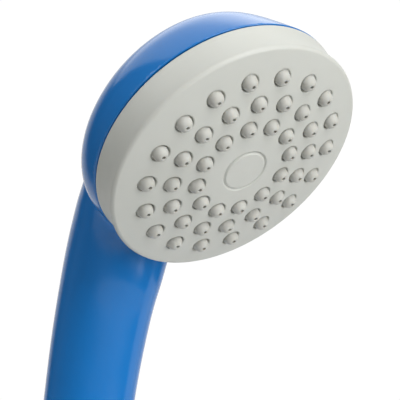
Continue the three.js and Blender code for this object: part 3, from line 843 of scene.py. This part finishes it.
def make_filter():
    """The strainer in the inlet: a rim round a disc with fine holes."""
    skin = Skin()
    under, top = STRAINER_FACES
    rim = [(6.2, top), (6.2, 10.6), (6.5, 10.9), (6.9, 10.9), (7.1, 10.7), (7.1, 8.8), (6.9, 8.6),
           (6.5, 8.6), (6.2, 8.9), (6.2, under)]
    rings = turned(skin, rim, 96, closed=False)
    tops, bottoms = [], []
    for count, radius in STRAINER_RINGS:
        for turn in np.arange(count) * 2 * math.pi / count:
            place = (radius * math.cos(turn), radius * math.sin(turn))
            tops.append(skin.ring(circle(STRAINER_HOLE, top, 12, place)))
            bottoms.append(skin.ring(circle(STRAINER_HOLE, under, 12, place)))
            skin.bridge([tops[-1], bottoms[-1]])
    fill_sheet(skin, rings[0], tops, lambda radius: top, 0.9)
    fill_sheet(skin, rings[-1], bottoms, lambda radius: under, 0.9)
    strainer = to_object("strainer", skin)
    return dress(strainer, "steel", "sprayer", "filter_screen")


def make_seals():
    """The rubber rings. Each has its mould's fine parting line round the outside and the inside."""
    for name, node, minor, tilt, body in SEALS:
        low, high = (Vector(corner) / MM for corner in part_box(node))
        major = (high.x - low.x) / 2 - minor
        section = []
        for turn in np.radians(np.arange(0, 360, 15)):
            line = PARTING_LINE if abs(math.sin(turn)) < 0.1 else 0
            section.append((major + (minor + line) * math.cos(turn), minor * math.sin(turn)))
        skin = Skin()
        turned(skin, section, 96 if major > 8 else 64)
        turn = Matrix.Rotation(math.radians(tilt), 4, "X")
        seal = to_object(name, skin, Matrix.Translation((low + high) / 2) @ turn)
        dress(seal, "seal_rubber", body, node)


def make_spring():
    """The valve's spring. Its ends close up."""
    skin = Skin()
    sides, per_turn = 12, 28
    low, high = SPRING_ENDS
    steps = int(SPRING_TURNS * per_turn)
    around = np.arange(sides) * 2 * math.pi / sides
    rings = []
    for step in range(steps + 1):
        share = step / steps
        turn = 2 * math.pi * step / per_turn
        height = low + (high - low) * (share - 0.1 * math.sin(2 * math.pi * share))
        radii = SPRING_RADIUS + SPRING_WIRE * np.cos(around)
        rings.append(skin.ring(np.column_stack((
            radii * math.cos(turn), radii * math.sin(turn), height + SPRING_WIRE * np.sin(around)))))
    skin.bridge(rings)
    for ring in (rings[0], rings[-1]):
        skin.cone(ring, np.mean([skin.points[i] for i in ring], axis=0))
    spring = to_object("spring", skin)
    dress(spring, "steel", "sprayer", "check_valve_spring")
    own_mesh(spring)


def make_poppet():
    """The part of the valve that lifts: a ribbed foot for its ring, and a slim stem."""
    skin = Skin()
    stem = [(0, 15.2), (1.9, 15.2), *arc((2.2, 15.9), 0.7, -90, 0, 4), (2.9, 17.6), (3.1, 17.8),
            (4.6, 17.8), (4.8, 17.95), (4.8, 18.25), (4.6, 18.4), (3.7, 19),
            *arc((1.4, 19.4), 0.4, 270, 180, 4), *arc((0.6, 28.9), 0.4, 0, 80, 4), (0, 29.3)]
    turned(skin, stem, 64)
    poppet = to_object("poppet", skin)
    return dress(poppet, "inner_plastic", "valve_poppet", "check_valve_poppet")


# ---- Stage -----------------------------------------------------------------------------------
CAMERA_PLACE = (-275.6, -335.8, 137.7)
CAMERA_RIGHT = (0.7199, -0.6909, 0.0661)
CAMERA_BACK = (-0.6892, -0.7229, -0.0488)
CAMERA_LENS = 120.35
SHOWN_WHITE = 1.02  # brightness of the surround as the camera sees it
FLOOR_RINGS = (300, 1200, 4000)
FLOOR_HEIGHT = -2
FLOOR_GLOW = 0.7  # seen by the camera only, so that it doesn't light the sprayer
LIGHT_AIM = (0, -0.04, 0.15)
LIGHT_DISTANCE = 1.0
# name, degrees to the camera's right, degrees up, side in metres, watts
SOFTBOXES = (
    ("key", 30, 40, 0.6, 7.3),
    ("side", 60, 0, 0.6, 6.2),
    ("fill", -60, 40, 0.6, 2.3),
    ("low", 120, -35, 0.6, 0.8),
    ("top", -165, 60, 1.2, 4.4),
)
# degrees from straight behind the sprayer, brightness of the surround there
SURROUND = (
    (180, 0.22), (75, 0.22), (62, 0.10), (50, 0.10), (42, 0.60), (27, 0.75), (16, 0.85), (0, 0.85))


def camera_axes():
    right = Vector(CAMERA_RIGHT).normalized()
    back = Vector(CAMERA_BACK).normalized()
    return right, back.cross(right).normalized(), back


def make_camera():
    camera = bpy.data.cameras.new("camera")
    camera.lens = CAMERA_LENS
    holder = bpy.data.objects.new("camera", camera)
    bpy.context.collection.objects.link(holder)
    turn = Matrix(camera_axes()).transposed().to_4x4()
    holder.matrix_world = Matrix.Translation(Vector(CAMERA_PLACE) * MM) @ turn
    bpy.context.scene.camera = holder


def softbox(name, turn, lift, size, power):
    """A square soft light that faces the sprayer. Turn is degrees to the camera's right, lift up."""
    right, up, back = camera_axes()
    turn, lift = math.radians(turn), math.radians(lift)
    level = right * math.sin(turn) + back * math.cos(turn)
    away = level * math.cos(lift) + up * math.sin(lift)
    light = bpy.data.lights.new(name, "AREA")
    light.shape = "SQUARE"
    light.size = size
    light.energy = power
    holder = bpy.data.objects.new(name, light)
    bpy.context.collection.objects.link(holder)
    holder.location = Vector(LIGHT_AIM) + away * LIGHT_DISTANCE
    holder.rotation_euler = away.to_track_quat("Z", "Y").to_euler()


def make_lights():
    for row in SOFTBOXES:
        softbox(*row)
    world = bpy.data.worlds.new("surround")
    world.use_nodes = True
    tree = world.node_tree
    place = tree.nodes.new("ShaderNodeTexCoord")
    ahead = tree.nodes.new("ShaderNodeVectorMath")
    ahead.operation = "DOT_PRODUCT"
    ahead.inputs[1].default_value = -camera_axes()[2]
    tree.links.new(place.outputs["Generated"], ahead.inputs[0])
    level = tree.nodes.new("ShaderNodeValToRGB")
    stops = level.color_ramp.elements
    for angle, strength in SURROUND:
        share = 0.5 + 0.5 * math.cos(math.radians(angle))
        stop = {0: stops[0], 1: stops[-1]}.get(share) or stops.new(share)
        stop.color = (strength, strength, strength, 1)
    half = tree.nodes.new("ShaderNodeMapRange")
    half.inputs["From Min"].default_value = -1
    tree.links.new(ahead.outputs["Value"], half.inputs["Value"])
    tree.links.new(half.outputs["Result"], level.inputs["Fac"])
    background = tree.nodes["Background"]
    tree.links.new(level.outputs["Color"], background.inputs["Color"])
    shown = tree.nodes.new("ShaderNodeBackground")
    shown.inputs["Color"].default_value = (1, 1, 1, 1)
    shown.inputs["Strength"].default_value = SHOWN_WHITE
    path = tree.nodes.new("ShaderNodeLightPath")
    mix = tree.nodes.new("ShaderNodeMixShader")
    tree.links.new(path.outputs["Is Camera Ray"], mix.inputs["Fac"])
    tree.links.new(background.outputs["Background"], mix.inputs[1])
    tree.links.new(shown.outputs["Background"], mix.inputs[2])
    tree.links.new(mix.outputs["Shader"], tree.nodes["World Output"].inputs["Surface"])
    bpy.context.scene.world = world


def make_floor():
    """A pale disc under the sprayer. It is clear from below, so that the underside can be seen."""
    skin = Skin()
    rings = [skin.ring(circle(radius, FLOOR_HEIGHT, 96)) for radius in FLOOR_RINGS]
    skin.bridge(rings)
    skin.cone(rings[0], (0, 0, FLOOR_HEIGHT))
    mesh = bpy.data.meshes.new("floor")
    mesh.from_pydata([Vector(point) * MM for point in skin.points], [], skin.faces)
    floor = bpy.data.objects.new("floor", mesh)
    bpy.context.collection.objects.link(floor)
    material, tree, shader = nodes_of("pale_floor")
    tree.links.new(tinted(tree, noise(tree, 6), (0.66, 0.66, 0.66), (0.70, 0.70, 0.70)),
                   shader.inputs["Base Color"])
    shader.inputs["Roughness"].default_value = 0.9
    path = tree.nodes.new("ShaderNodeLightPath")
    tree.links.new(path.outputs["Is Camera Ray"], shader.inputs["Emission Color"])
    shader.inputs["Emission Strength"].default_value = FLOOR_GLOW
    clear = tree.nodes.new("ShaderNodeBsdfTransparent")
    side = tree.nodes.new("ShaderNodeNewGeometry")
    mix = tree.nodes.new("ShaderNodeMixShader")
    tree.links.new(side.outputs["Backfacing"], mix.inputs["Fac"])
    tree.links.new(shader.outputs["BSDF"], mix.inputs[1])
    tree.links.new(clear.outputs["BSDF"], mix.inputs[2])
    tree.links.new(mix.outputs["Shader"], tree.nodes["Material Output"].inputs["Surface"])
    mesh.materials.append(material)


# ---- Assembly --------------------------------------------------------------------------------
materials = make_materials()
make_camera()
make_lights()
make_floor()
make_shell()
make_cap()
make_nozzle_mat()
make_medallion()
make_inlet()
make_filter()
make_seals()
make_spring()
make_poppet()

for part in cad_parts.values():
    for holder in part.material_slots:
        if holder.material.name in materials:
            holder.material = materials[holder.material.name]

bpy.context.scene.view_settings.view_transform = "Standard"
